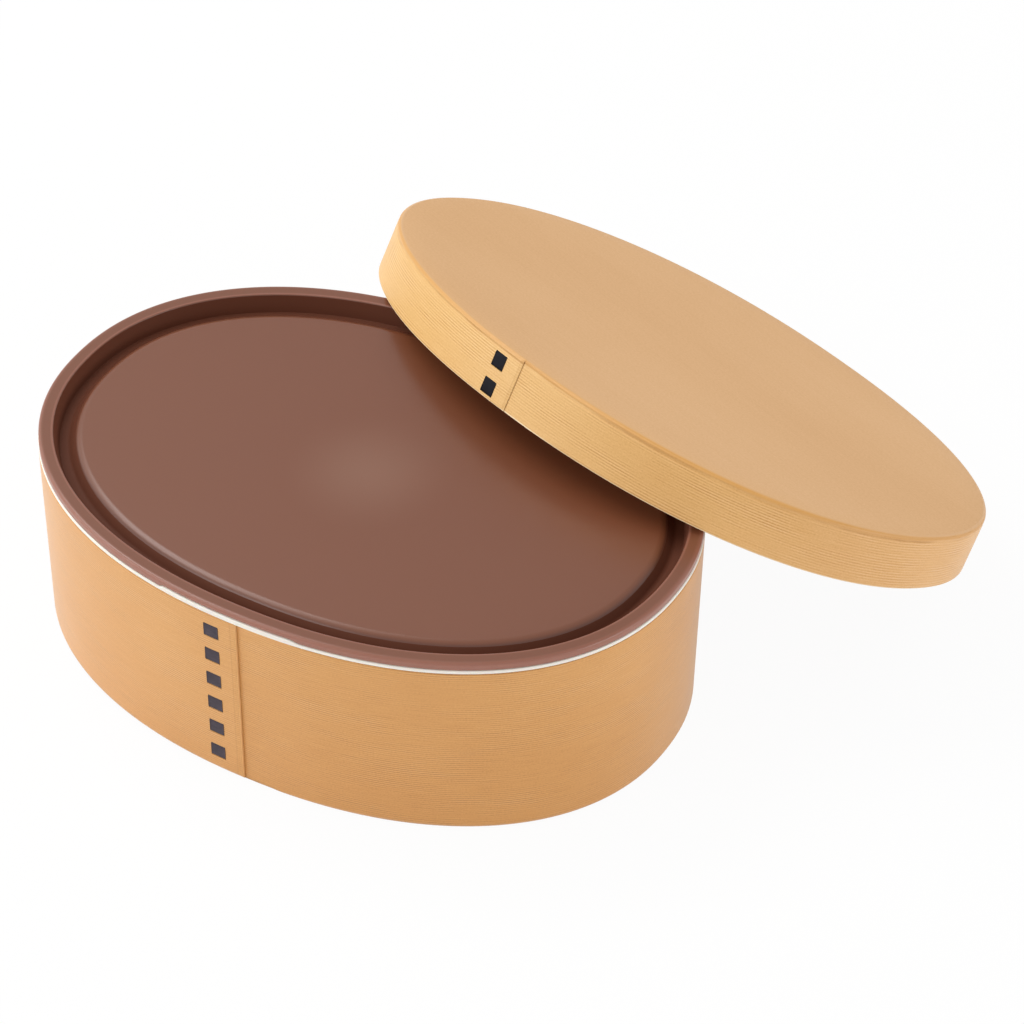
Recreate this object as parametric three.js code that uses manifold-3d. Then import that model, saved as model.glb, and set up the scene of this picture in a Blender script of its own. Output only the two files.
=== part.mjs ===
// An oval bentwood lunch box, open, with its lid leaning on it.
//
// The body is one thin strip of wood bent to an oval, its ends lapped at the front and held by
// a row of bark stitches, round a bottom board. A white liner hangs in the body by its rim, and
// a brown inner lid with a moat plugs the liner. The outer lid is a second lapped band round a
// top board, and slips down over the body.
//
// Millimetres, +X along the box, +Y to the back, +Z up. The origin is the middle of the
// bottom board's underside. Insets are measured inward from the body's outer face, at right
// angles to it, so a negative inset lies outside the body.

import * as THREE from 'three';
import { mergeVertices } from 'three/addons/utils/BufferGeometryUtils.js';
import Module from 'manifold-3d';

const wasm = await Module();
wasm.setup();

// The oval: |x / half length|^e + |y / half width|^e = 1, where 2 would be a plain ellipse
const bodyHalfLength = 90;
const bodyHalfWidth = 65;
const ovalExponent = 2.159;
const ringSteps = 84;

// Fits between pieces
const glueGap = 0.1;
const seatGap = 0.2;
const looseGap = 0.3;
const cutOverrun = 1;

// Body band
const bodyBandHeight = 54.5;
const bodyBandThickness = 1.9;
const bodyBandDraft = 1.45;
const bodyFootRadius = 1.8;

// The lap of the body band, by distance from the middle of the front, plus to the right
const bodySeamPlace = 1;
const bodyLapLength = 24;
const bodyLapTip = 0.5;
const bodyLapEnd = 0.6;
const bodySeamBevel = 1.3;
const bodySeamBevelDrop = 0.2;
const bodyLapFade = 24;

// Bark stitches of the body
const bodyStitchCount = 6;
const bodyStitchSize = 4.3;
const bodyStitchPlace = -6.4;
const bodyTopStitchBelowRim = 5.5;
const bodyLowStitchAboveFoot = 6.9;

// Bark of every stitch
const barkThickness = 0.4;
const barkProud = 0.1;
const barkTailLength = 1.4;

// Bottom board
const baseThickness = 3;

// White liner
const linerRimHeight = 0.95;
const linerRimRound = 0.3;
const linerWall = 1.05;
const linerFloor = 1.2;
const linerMouthDepth = 1.3;
const linerShoulderHeight = 2;
const linerShoulderStep = 1.4;
const linerDraft = 1.5;
const linerFloorRadius = 6;

// Brown inner lid
const flangeHeight = 2.15;
const flangeSideInset = 0.17;
const flangeWidth = 4.05;
const flangeTopRound = 0.4;
const flangeInnerRound = 0.4;
const moatDepth = 5;
const moatOuterSlope = 1.3;
const moatFloorWidth = 0.25;
const moatHollowRadius = 4.4;
const panelDrop = 2;
const panelEdgeRadius = 4;
const panelDome = 0.4;
const innerLidWall = 1;
const plugRound = 0.8;

// Finger notch under the front of the inner lid's flange
const notchLeft = -22.5;
const notchRight = 19.5;
const notchHeight = 0.65;
const notchDepth = 2.2;
const notchLeftRamp = 2;
const notchRightRamp = 6;

// Outer lid
const lidFit = 1.07;
const lidBandThickness = 2.2;
const lidHeight = 15.3;
const lidShoulderRadius = 1.2;
const lidRebateWidth = 1;
const lidBoardThickness = 1.6;
const lidBoardRound = 0.4;
const lidSkirtRound = 0.4;

// The lap of the lid band
const lidSeamPlace = 1.75;
const lidLapLength = 26;
const lidLapTip = 0.5;
const lidLapEnd = 0.6;
const lidSeamBevel = 0.9;
const lidSeamBevelDrop = 0.15;
const lidLapFade = 20;

// Bark stitches of the lid
const lidStitchCount = 2;
const lidStitchSize = 4.2;
const lidStitchPlace = -5.75;
const lidTopStitchBelowTop = 4.65;
const lidLowStitchAboveSkirt = 3.1;

// Where the lid leans: its middle is to the right of the body's and behind the body's back
const lidMiddleRight = 43.55;
const lidMiddleBehind = 26.7;
const lidOffTable = 0.4;
const lidOffRim = 0.3;
const lidTurnDegrees = -18.55;
const lidSpinDegrees = -0.38;
const lidSteepestDegrees = 60;
const leanHalvings = 40;

// Colours, with roughness, from the photograph
const colours = {
  band: '#d9a163',
  lidBand: '#e8bd7c',
  board: '#d3a87a',
  bark: '#3c3740',
  liner: '#f6f3ec',
  innerLid: '#8b6150',
};
const roughness = { band: 0.6, lidBand: 0.6, board: 0.75, bark: 0.5, liner: 0.35, innerLid: 0.4 };

// Sizes that follow from the ones above
const middleInset = bodyHalfWidth;
const linerRimBottom = bodyBandHeight + seatGap;
const linerRimTop = linerRimBottom + linerRimHeight;
const flangeBottom = linerRimTop + seatGap;
const flangeTop = flangeBottom + flangeHeight;
const linerMouthInset = bodyBandThickness + seatGap;
const moatFloor = flangeTop - moatDepth;
const moatOuterFoot = flangeWidth + moatOuterSlope;
const moatInnerFoot = moatOuterFoot + moatFloorWidth;
const panelTop = flangeTop - panelDrop;

// The moat sweeps up to the panel in an S: a hollow, then a round, that meet at the steepest slope
const moatSweepRadii = moatHollowRadius + panelEdgeRadius;
const moatSteepestSlope = Math.acos(1 - (panelTop - moatFloor) / moatSweepRadii);
const moatSteepestDegrees = THREE.MathUtils.radToDeg(moatSteepestSlope);
const panelEdgeInset = moatInnerFoot + moatSweepRadii * Math.sin(moatSteepestSlope);
const lidOuterInset = -(lidFit + lidBandThickness);
const lidRebateDepth = lidBoardThickness + seatGap;

// Shapes in plan

function signedPower(value, power) {
  return Math.sign(value) * Math.abs(value) ** power;
}

// The place on the oval at a turn angle, moved inward by an inset
function ovalPlace(angle, inset) {
  const along = Math.cos(angle);
  const across = Math.sin(angle);
  const reach = 2 / ovalExponent;
  const lean = 2 - reach;
  const normal = new THREE.Vector2(
    signedPower(along, lean) / bodyHalfLength,
    signedPower(across, lean) / bodyHalfWidth,
  ).normalize();
  const edge = new THREE.Vector2(
    bodyHalfLength * signedPower(along, reach),
    bodyHalfWidth * signedPower(across, reach),
  );
  return { point: edge.addScaledVector(normal, -inset), normal };
}

// The turn angle of a place at the front of the oval, given by its X
function frontAngle(place) {
  const share = signedPower(place / bodyHalfLength, ovalExponent / 2);
  return Math.PI * 3 / 2 + Math.asin(share);
}

// Turns a profile of [inset, height] points, from the bottom, outward and up, as a round solid,
// then moves each ring out to the oval. Past the plate inset the rings shrink evenly to the
// middle instead of running parallel to the edge.
function sweepOval(profile, plateInset) {
  const turned = profile.map(([inset, height]) => new THREE.Vector2(middleInset - inset, height));
  const geometry = new THREE.LatheGeometry(turned, ringSteps);
  const places = geometry.getAttribute('position');
  for (let ring = 0; ring <= ringSteps; ring++) {
    const angle = 2 * Math.PI * (ring % ringSteps) / ringSteps;
    profile.forEach(([inset, height], step) => {
      const edge = ovalPlace(angle, Math.min(inset, plateInset)).point;
      const shrink = 1 - Math.max(inset - plateInset, 0) / (middleInset - plateInset);
      places.setXYZ(ring * profile.length + step, edge.x * shrink, edge.y * shrink, height);
    });
  }
  return geometry;
}

// Points on a quarter round from one direction to the next, in [inset, height]
function roundCorner(insetMiddle, heightMiddle, radius, fromDegrees, toDegrees, steps) {
  const points = [];
  for (let step = 0; step <= steps; step++) {
    const angle = THREE.MathUtils.degToRad(fromDegrees + (toDegrees - fromDegrees) * step / steps);
    points.push([insetMiddle - radius * Math.cos(angle), heightMiddle + radius * Math.sin(angle)]);
  }
  return points;
}

// Solids and meshes

function asSolid(geometry) {
  const bare = geometry.clone();
  bare.deleteAttribute('normal');
  bare.deleteAttribute('uv');
  const merged = mergeVertices(bare);
  const vertProperties = new Float32Array(merged.getAttribute('position').array);
  const triVerts = new Uint32Array(merged.index.array);
  return new wasm.Manifold(new wasm.Mesh({ numProp: 3, vertProperties, triVerts }));
}

function asGeometry(solid) {
  const mesh = solid.getMesh();
  const geometry = new THREE.BufferGeometry();
  geometry.setAttribute('position', new THREE.BufferAttribute(mesh.vertProperties, mesh.numProp));
  geometry.setIndex(new THREE.BufferAttribute(mesh.triVerts, 1));
  geometry.computeVertexNormals();
  return geometry;
}

function namedMesh(name, geometry, finish) {
  const material = new THREE.MeshStandardMaterial({
    color: colours[finish],
    roughness: roughness[finish],
    metalness: 0,
  });
  const mesh = new THREE.Mesh(geometry, material);
  mesh.name = name;
  return mesh;
}

// A lapped band

// The turn angles of a band that starts under its own lap and ends over it
function bandAngles(lap) {
  const start = frontAngle(lap.seam - lap.length);
  const marks = [
    lap.seam - lap.length - lap.tip,
    lap.seam - lap.length - 2 * lap.tip,
    lap.seam - lap.bevel,
    lap.seam,
    lap.seam + lap.fade,
  ].map(frontAngle);
  const grid = Array.from({ length: ringSteps }, (unused, step) => 2 * Math.PI * step / ringSteps);
  const turn = [...marks, start, ...grid];
  const end = frontAngle(lap.seam) + 2 * Math.PI;
  const twice = [...turn, ...turn.map((angle) => angle + 2 * Math.PI)];
  return twice.filter((angle) => angle >= start && angle <= end).sort((one, other) => one - other);
}

// The insets of the faces of a band at a station, from its outer face. Under the lap both ends
// are scarfed, and they meet on a slanting glue line.
function bandStation(angle, lap) {
  const { point } = ovalPlace(angle, 0);
  const front = point.y < 0;
  const fromTip = point.x - (lap.seam - lap.length);
  const fromSeam = point.x - lap.seam;
  const scarfDepth = lap.wall - lap.tip - lap.end;
  const glueLine = lap.wall - lap.tip - scarfDepth * Math.max(fromTip / lap.length, 0);
  const outerEnd = angle > frontAngle(lap.seam - lap.length) + Math.PI;
  if (outerEnd) {
    const onTip = front && fromTip > -lap.tip * 3 / 2;
    const bevelShare = front ? Math.max(fromSeam / lap.bevel + 1, 0) : 0;
    return {
      angle,
      outer: lap.bevelDrop * bevelShare,
      inner: onTip ? glueLine - glueGap / 2 : lap.wall,
    };
  }
  if (front && fromSeam <= 0) {
    return { angle, outer: glueLine + glueGap / 2, inner: lap.wall };
  }
  const fadeShare = front ? Math.min(fromSeam / lap.fade, 1) : 1;
  return { angle, outer: (lap.end + glueGap / 2) * (1 - fadeShare), inner: lap.wall };
}

// The strip itself: four corners at each station, and a cap on each end. The draft draws the
// foot in.
function bendBand(lap, outerInset, height, draft) {
  const stations = bandAngles(lap).map((angle) => bandStation(angle, lap));
  const corners = [];
  for (const station of stations) {
    const outer = outerInset + station.outer;
    const inner = outerInset + station.inner;
    for (const [inset, level] of [
      [outer + draft, 0],
      [outer, height],
      [inner, height],
      [inner + draft, 0],
    ]) {
      const { point } = ovalPlace(station.angle, inset);
      corners.push(point.x, point.y, level);
    }
  }
  const faces = [0, 1, 2, 0, 2, 3];
  for (let step = 0; step + 1 < stations.length; step++) {
    for (let corner = 0; corner < 4; corner++) {
      const here = step * 4 + corner;
      const beside = step * 4 + (corner + 1) % 4;
      faces.push(here, here + 4, beside + 4, here, beside + 4, beside);
    }
  }
  const last = (stations.length - 1) * 4;
  faces.push(last, last + 2, last + 1, last, last + 3, last + 2);
  const geometry = new THREE.BufferGeometry();
  geometry.setAttribute('position', new THREE.Float32BufferAttribute(corners, 3));
  geometry.setIndex(faces);
  return geometry;
}

// Bark stitches

// A stitch in its own frame: X across, Y outward from the band's face, Z up. It is a strip that
// goes in through two slits and has both tails turned over behind the band.
function stitchShape(size, wall) {
  const half = size / 2;
  const face = barkProud;
  const faceBack = barkProud - barkThickness;
  const tailFront = -(wall + seatGap);
  const tailBack = tailFront - barkThickness;
  const tailEnd = half - barkTailLength;
  const outline = new THREE.Shape();
  outline.moveTo(face, -half);
  outline.lineTo(face, half);
  outline.lineTo(tailBack, half);
  outline.lineTo(tailBack, tailEnd);
  outline.lineTo(tailFront, tailEnd);
  outline.lineTo(tailFront, half - barkThickness);
  outline.lineTo(faceBack, half - barkThickness);
  outline.lineTo(faceBack, barkThickness - half);
  outline.lineTo(tailFront, barkThickness - half);
  outline.lineTo(tailFront, -tailEnd);
  outline.lineTo(tailBack, -tailEnd);
  outline.lineTo(tailBack, -half);
  outline.closePath();
  const geometry = new THREE.ExtrudeGeometry(outline, { depth: size, bevelEnabled: false });
  const frame = new THREE.Matrix4().makeBasis(
    new THREE.Vector3(0, 1, 0),
    new THREE.Vector3(0, 0, 1),
    new THREE.Vector3(1, 0, 0),
  );
  geometry.translate(0, 0, -half).applyMatrix4(frame);
  return geometry;
}

// What a stitch needs cut from its band: a shallow seat for its face, and two slits
function stitchSeat(size, wall) {
  const wide = size + 2 * seatGap;
  const seatDepth = barkThickness - barkProud + seatGap;
  const slitHeight = barkThickness + 2 * seatGap;
  const slitDepth = wall + cutOverrun;
  const seat = new THREE.BoxGeometry(wide, seatDepth + cutOverrun, wide);
  seat.translate(0, (cutOverrun - seatDepth) / 2, 0);
  const upperSlit = new THREE.BoxGeometry(wide, slitDepth, slitHeight);
  upperSlit.translate(0, -slitDepth / 2, (size - barkThickness) / 2);
  const lowerSlit = new THREE.BoxGeometry(wide, slitDepth, slitHeight);
  lowerSlit.translate(0, -slitDepth / 2, -(size - barkThickness) / 2);
  return asSolid(seat).add(asSolid(upperSlit)).add(asSolid(lowerSlit));
}

// Stands a stitch on a band's outer face, at a place along the front and a height
function stitchFrame(place, height, outerInset, bandHeight, draft) {
  const inset = outerInset + draft * (1 - height / bandHeight);
  const { point, normal } = ovalPlace(frontAngle(place), inset);
  const frame = new THREE.Object3D();
  frame.position.set(point.x, point.y, height);
  frame.rotation.set(-Math.atan(draft / bandHeight), 0, Math.atan2(-normal.x, normal.y), 'ZXY');
  frame.updateMatrix();
  return frame;
}

function stitchRow(row) {
  const pitch = (row.topMiddle - row.lowMiddle) / (row.count - 1);
  return Array.from({ length: row.count }, (unused, step) => {
    const height = row.topMiddle - step * pitch;
    return stitchFrame(row.place, height, row.outerInset, row.bandHeight, row.draft);
  });
}

function cutSeats(band, row, frames) {
  const seat = stitchSeat(row.size, row.wall);
  return frames.reduce((cut, frame) => cut.subtract(seat.transform(frame.matrix.elements)), band);
}

function addStitches(group, prefix, row, frames) {
  frames.forEach((frame, step) => {
    const stitch = namedMesh(`${prefix}_${step + 1}`, stitchShape(row.size, row.wall), 'bark');
    stitch.position.copy(frame.position);
    stitch.rotation.copy(frame.rotation);
    group.add(stitch);
  });
}

// Body

const bodyLap = {
  seam: bodySeamPlace,
  length: bodyLapLength,
  tip: bodyLapTip,
  end: bodyLapEnd,
  bevel: bodySeamBevel,
  bevelDrop: bodySeamBevelDrop,
  fade: bodyLapFade,
  wall: bodyBandThickness,
};

const bodyRow = {
  count: bodyStitchCount,
  size: bodyStitchSize,
  place: bodyStitchPlace,
  topMiddle: bodyBandHeight - bodyTopStitchBelowRim,
  lowMiddle: bodyLowStitchAboveFoot,
  outerInset: 0,
  wall: bodyBandThickness,
  bandHeight: bodyBandHeight,
  draft: bodyBandDraft,
};

// Everything inside this stays when the foot of the body is rounded
function bodyFootEnvelope() {
  const footInset = bodyBandDraft * (1 - bodyFootRadius / bodyBandHeight);
  return sweepOval([
    [middleInset, 0],
    ...roundCorner(footInset + bodyFootRadius, bodyFootRadius, bodyFootRadius, -90, 0, 4),
    [-cutOverrun, bodyFootRadius + cutOverrun],
    [-cutOverrun, bodyBandHeight + cutOverrun],
    [middleInset, bodyBandHeight + cutOverrun],
  ], panelEdgeInset);
}

function makeBodyBand(frames) {
  const strip = asSolid(bendBand(bodyLap, 0, bodyBandHeight, bodyBandDraft));
  const footed = strip.intersect(asSolid(bodyFootEnvelope()));
  return asGeometry(cutSeats(footed, bodyRow, frames));
}

function makeBodyBase() {
  const inset = bodyBandThickness + bodyBandDraft + seatGap;
  return sweepOval([
    [middleInset, 0],
    [inset, 0],
    [inset, baseThickness],
    [middleInset, baseThickness],
  ], panelEdgeInset);
}

// Liner

function makeLiner() {
  const underside = baseThickness + looseGap;
  const floor = underside + linerFloor;
  const shoulderTop = linerRimBottom - linerMouthDepth;
  const shoulderFoot = shoulderTop - linerShoulderHeight;
  const wallInset = linerMouthInset + linerShoulderStep;
  const footInset = wallInset + linerDraft;
  const outerRadius = linerFloorRadius;
  const innerRadius = linerFloorRadius - linerWall;
  const innerFoot = footInset + linerWall;
  return sweepOval([
    [middleInset, underside],
    ...roundCorner(footInset + outerRadius, underside + outerRadius, outerRadius, -90, 0, 4),
    [wallInset, shoulderFoot],
    [linerMouthInset, shoulderTop],
    [linerMouthInset, linerRimBottom],
    [0, linerRimBottom],
    ...roundCorner(linerRimRound, linerRimTop - linerRimRound, linerRimRound, 0, 90, 2),
    [linerMouthInset + linerWall, linerRimTop],
    [linerMouthInset + linerWall, shoulderTop + linerWall / 2],
    [wallInset + linerWall, shoulderFoot + linerWall / 2],
    ...roundCorner(innerFoot + innerRadius, floor + innerRadius, innerRadius, 0, -90, 4),
    [middleInset, floor],
  ], innerFoot + innerRadius);
}

// Inner lid

function flangeOuterRound() {
  const radius = flangeTopRound;
  return roundCorner(flangeSideInset + radius, flangeTop - radius, radius, 0, 90, 3);
}

function flangeInnerEdge() {
  const radius = flangeInnerRound;
  return roundCorner(flangeWidth - radius, flangeTop - radius, radius, 90, 180, 2);
}

// From the moat's floor to the edge of the panel, or the underside of that at a depth
function moatSweep(depth) {
  const hollowRadius = moatHollowRadius + depth;
  const hollowMiddle = moatFloor + moatHollowRadius;
  const roundRadius = panelEdgeRadius - depth;
  const roundMiddle = panelTop - panelEdgeRadius;
  const steep = moatSteepestDegrees;
  return [
    ...roundCorner(moatInnerFoot, hollowMiddle, hollowRadius, -90, -90 - steep, 3),
    ...roundCorner(panelEdgeInset, roundMiddle, roundRadius, 90 - steep, 90, 4).slice(1),
  ];
}

function innerLidProfile() {
  const plugTop = flangeBottom;
  const plugBottom = moatFloor - innerLidWall;
  const plugInset = moatOuterFoot - innerLidWall;
  const plugTopInset = flangeWidth - innerLidWall / 2;
  const underPanel = panelTop - innerLidWall;
  return [
    [middleInset, underPanel + panelDome],
    ...moatSweep(innerLidWall).reverse(),
    [plugInset + plugRound, plugBottom],
    [plugInset, plugBottom + plugRound],
    [plugTopInset, plugTop],
    [flangeSideInset, flangeBottom],
    ...flangeOuterRound(),
    ...flangeInnerEdge(),
    [moatOuterFoot, moatFloor],
    ...moatSweep(0),
    [middleInset, panelTop + panelDome],
  ];
}

// The notch for a fingertip: a band under the flange's edge, with slanting ends
function notchCutter() {
  const bottom = flangeBottom - cutOverrun;
  const top = flangeBottom + notchHeight;
  const ring = sweepOval([
    [notchDepth, bottom],
    [-cutOverrun, bottom],
    [-cutOverrun, top],
    [notchDepth, top],
    [notchDepth, bottom],
  ], panelEdgeInset);
  const outline = new THREE.Shape();
  outline.moveTo(notchLeft, flangeBottom);
  outline.lineTo(notchLeft, bottom - cutOverrun);
  outline.lineTo(notchRight, bottom - cutOverrun);
  outline.lineTo(notchRight, flangeBottom);
  outline.lineTo(notchRight - notchRightRamp, top + cutOverrun / 2);
  outline.lineTo(notchLeft + notchLeftRamp, top + cutOverrun / 2);
  outline.closePath();
  const stretch = new THREE.ExtrudeGeometry(outline, { depth: bodyHalfWidth, bevelEnabled: false });
  stretch.rotateX(Math.PI / 2);
  stretch.translate(0, -bodyHalfWidth / 2, 0);
  return asSolid(ring).intersect(asSolid(stretch));
}

function makeInnerLid() {
  const lid = asSolid(sweepOval(innerLidProfile(), panelEdgeInset));
  return asGeometry(lid.subtract(notchCutter()));
}

// Outer lid, in its own frame with the skirt's edge at height zero

const lidLap = {
  seam: lidSeamPlace,
  length: lidLapLength,
  tip: lidLapTip,
  end: lidLapEnd,
  bevel: lidSeamBevel,
  bevelDrop: lidSeamBevelDrop,
  fade: lidLapFade,
  wall: lidBandThickness,
};

const lidRow = {
  count: lidStitchCount,
  size: lidStitchSize,
  place: lidStitchPlace,
  topMiddle: lidHeight - lidTopStitchBelowTop,
  lowMiddle: lidLowStitchAboveSkirt,
  outerInset: lidOuterInset,
  wall: lidBandThickness,
  bandHeight: lidHeight,
  draft: 0,
};

function skirtEdge() {
  const radius = lidSkirtRound;
  return roundCorner(lidOuterInset + radius, radius, radius, -90, 0, 2);
}

function lidEnvelope() {
  const radius = lidShoulderRadius;
  return sweepOval([
    [middleInset, 0],
    ...skirtEdge(),
    ...roundCorner(lidOuterInset + radius, lidHeight - radius, radius, 0, 90, 4),
    [middleInset, lidHeight],
  ], panelEdgeInset);
}

function lidRebate() {
  const inset = lidOuterInset + lidBandThickness - lidRebateWidth;
  return sweepOval([
    [middleInset, lidHeight - lidRebateDepth],
    [inset, lidHeight - lidRebateDepth],
    [inset, lidHeight + cutOverrun],
    [middleInset, lidHeight + cutOverrun],
  ], panelEdgeInset);
}

function makeLidBand(frames) {
  const strip = asSolid(bendBand(lidLap, lidOuterInset, lidHeight, 0));
  const shaped = strip.intersect(asSolid(lidEnvelope())).subtract(asSolid(lidRebate()));
  return asGeometry(cutSeats(shaped, lidRow, frames));
}

function makeLidBoard() {
  const inset = lidOuterInset + lidBandThickness - lidRebateWidth + seatGap;
  return sweepOval([
    [middleInset, lidHeight - lidBoardThickness],
    [inset, lidHeight - lidBoardThickness],
    ...roundCorner(inset + lidBoardRound, lidHeight - lidBoardRound, lidBoardRound, 0, 90, 2),
    [middleInset, lidHeight],
  ], panelEdgeInset);
}

// How the lid leans. It stands on the table behind the body with the far edge of its skirt, and
// lies on the inner lid's flange. The lean is found by halving, so that it follows the sizes.

function lidRotation(lean) {
  const turn = new THREE.Matrix4().makeRotationZ(THREE.MathUtils.degToRad(lidTurnDegrees));
  const tip = new THREE.Matrix4().makeRotationX(-lean);
  const spin = new THREE.Matrix4().makeRotationZ(THREE.MathUtils.degToRad(lidSpinDegrees));
  return turn.multiply(tip).multiply(spin);
}

function ovalRing(inset, height) {
  return Array.from({ length: 4 * ringSteps }, (unused, step) => {
    const { point } = ovalPlace(Math.PI * step / (2 * ringSteps), inset);
    return new THREE.Vector3(point.x, point.y, height);
  });
}

// The lid's own frame at a lean, with its skirt just off the table
function lidFrame(lean) {
  const matrix = lidRotation(lean);
  const skirt = skirtEdge().flatMap(([inset, height]) => ovalRing(inset, height));
  const lowest = Math.min(...skirt.map((point) => point.applyMatrix4(matrix).z));
  const middle = new THREE.Vector3(lidMiddleRight, bodyHalfWidth + lidMiddleBehind, 0);
  const topMiddle = new THREE.Vector3(0, 0, lidHeight).applyMatrix4(matrix);
  middle.sub(topMiddle);
  middle.z = lidOffTable - lowest;
  return matrix.setPosition(middle);
}

// How far a point in the plan lies outside an oval, roughly, with inside negative
function outsideOval(point, inset) {
  const level = Math.abs(point.x / (bodyHalfLength - inset)) ** ovalExponent
    + Math.abs(point.y / (bodyHalfWidth - inset)) ** ovalExponent;
  return Math.hypot(point.x, point.y) * (1 - level ** (-1 / ovalExponent));
}

// The least room between the lid at a lean and the closed body, negative where they cut
function lidRoom(lean) {
  const frame = lidFrame(lean);
  const inverse = frame.clone().invert();
  const boardUnder = lidHeight - lidRebateDepth;
  const bodyPoints = [
    ...flangeOuterRound().flatMap(([inset, height]) => ovalRing(inset, height)),
    ...ovalRing(flangeWidth, flangeTop),
    ...ovalRing(0, linerRimTop),
    ...ovalRing(0, bodyBandHeight / 2),
  ];
  const bodyRoom = bodyPoints.map((point) => {
    const inLid = point.clone().applyMatrix4(inverse);
    const fromOutside = outsideOval(inLid, lidOuterInset);
    const fromInside = -outsideOval(inLid, lidOuterInset + lidBandThickness);
    const board = Math.max(fromOutside, boardUnder - inLid.z, inLid.z - lidHeight);
    const skirt = Math.max(fromOutside, fromInside, -inLid.z);
    return Math.min(board, skirt);
  });
  const flangeEdgeInset = flangeSideInset + flangeTopRound / 2;
  const skirtPoints = [
    ...ovalRing(lidOuterInset, 0),
    ...ovalRing(lidOuterInset + lidBandThickness, 0),
  ];
  const skirtRoom = skirtPoints.map((point) => {
    const inBody = point.clone().applyMatrix4(frame);
    return Math.max(outsideOval(inBody, flangeEdgeInset), inBody.z - flangeTop);
  });
  return Math.min(...bodyRoom, ...skirtRoom);
}

function findLean() {
  let flat = 0;
  let steep = THREE.MathUtils.degToRad(lidSteepestDegrees);
  for (let halving = 0; halving < leanHalvings; halving++) {
    const lean = (flat + steep) / 2;
    if (lidRoom(lean) > lidOffRim) {
      steep = lean;
    } else {
      flat = lean;
    }
  }
  return steep;
}

// The whole lunch box

const lunchBox = new THREE.Group();

const bodyFrames = stitchRow(bodyRow);
lunchBox.add(namedMesh('body_band', makeBodyBand(bodyFrames), 'band'));
lunchBox.add(namedMesh('body_base', makeBodyBase(), 'board'));
addStitches(lunchBox, 'body_stitch', bodyRow, bodyFrames);
lunchBox.add(namedMesh('inner_box', makeLiner(), 'liner'));
lunchBox.add(namedMesh('inner_lid', makeInnerLid(), 'innerLid'));

const lean = findLean();
const outerLid = new THREE.Group();
lidFrame(lean).decompose(outerLid.position, outerLid.quaternion, outerLid.scale);
const lidFrames = stitchRow(lidRow);
outerLid.add(namedMesh('lid_band', makeLidBand(lidFrames), 'lidBand'));
outerLid.add(namedMesh('lid_board', makeLidBoard(), 'board'));
addStitches(outerLid, 'lid_stitch', lidRow, lidFrames);
lunchBox.add(outerLid);

console.log('lid leans', THREE.MathUtils.radToDeg(lean).toFixed(2), 'degrees');

export default lunchBox;
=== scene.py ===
# %% [markdown]
# An oval bentwood lunch box, open, with its lid leaning on it. The real box is made of two thin
# strips of cedar, each bent round, lapped and stitched with cherry bark, round flat boards. A
# white liner and a brown inner lid keep the food off the wood. The frame that is loaded first says
# where each piece is and how it moves. This script makes the surfaces that the eye sees.

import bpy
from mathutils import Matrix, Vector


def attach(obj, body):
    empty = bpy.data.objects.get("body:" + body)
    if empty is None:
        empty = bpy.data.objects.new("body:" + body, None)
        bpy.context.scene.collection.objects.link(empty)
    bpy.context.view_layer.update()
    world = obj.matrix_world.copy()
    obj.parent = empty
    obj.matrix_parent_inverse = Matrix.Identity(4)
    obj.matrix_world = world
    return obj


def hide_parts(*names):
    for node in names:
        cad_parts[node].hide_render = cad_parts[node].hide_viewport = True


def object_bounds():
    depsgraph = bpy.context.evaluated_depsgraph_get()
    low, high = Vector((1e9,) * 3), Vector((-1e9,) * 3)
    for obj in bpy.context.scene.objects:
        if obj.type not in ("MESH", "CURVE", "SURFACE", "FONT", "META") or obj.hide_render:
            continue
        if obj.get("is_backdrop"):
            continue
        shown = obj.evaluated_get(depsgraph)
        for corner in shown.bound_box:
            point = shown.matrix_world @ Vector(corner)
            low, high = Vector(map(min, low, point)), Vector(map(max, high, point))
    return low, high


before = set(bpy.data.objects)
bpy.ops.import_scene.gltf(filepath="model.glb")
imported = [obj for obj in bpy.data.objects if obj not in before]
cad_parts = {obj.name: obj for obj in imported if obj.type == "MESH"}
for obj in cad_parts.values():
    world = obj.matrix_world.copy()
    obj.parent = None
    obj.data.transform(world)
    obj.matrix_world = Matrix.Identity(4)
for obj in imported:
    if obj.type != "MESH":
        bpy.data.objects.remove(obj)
solid_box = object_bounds()
print("nodes:", len(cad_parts))

# %% [markdown]
# The scene counts in metres and a box maker in millimetres, so a length is written as a number
# times MM.

# %% Import what the lesson needs
from types import SimpleNamespace

import bpy
import numpy as np
from mathutils import Matrix, Vector

MM = 0.001
print("one millimetre is", MM, "of the scene's units")

# %% [markdown]
# The camera stands where the photograph was taken from: high, to the front and the right, and far
# off with a long lens, so that the far side of the box is hardly smaller than the near side. Its
# place and turn were found by fitting the box's edges to the picture.

# %% Camera
LENS = 183.9
CAMERA_PLACE = (540.6 * MM, -857.3 * MM, 930.3 * MM)
CAMERA_TURN = np.radians((48.783, -0.357, 30.471))

camera_data = bpy.data.cameras.new("camera")
camera_data.lens = LENS
camera_data.clip_start = 100 * MM
camera = bpy.data.objects.new("camera", camera_data)
camera.location = CAMERA_PLACE
camera.rotation_euler = CAMERA_TURN
bpy.context.scene.collection.objects.link(camera)
bpy.context.scene.camera = camera
print("camera is", round(camera.location.length, 3), "m from the box")

# %% [markdown]
# Every curved piece follows one oval. A plain ellipse is a little too pointed at its ends, so the
# power is slightly over 2, which fills the shoulders out as a strip bent round a former does.
# An inset moves a point inward at right angles to the oval, and a negative one moves it outward.

# %% The oval
HALF_LENGTH = 90 * MM
HALF_WIDTH = 65 * MM
OVAL_POWER = 2.159


def signed_power(value, power):
    return np.sign(value) * np.abs(value) ** power


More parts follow.
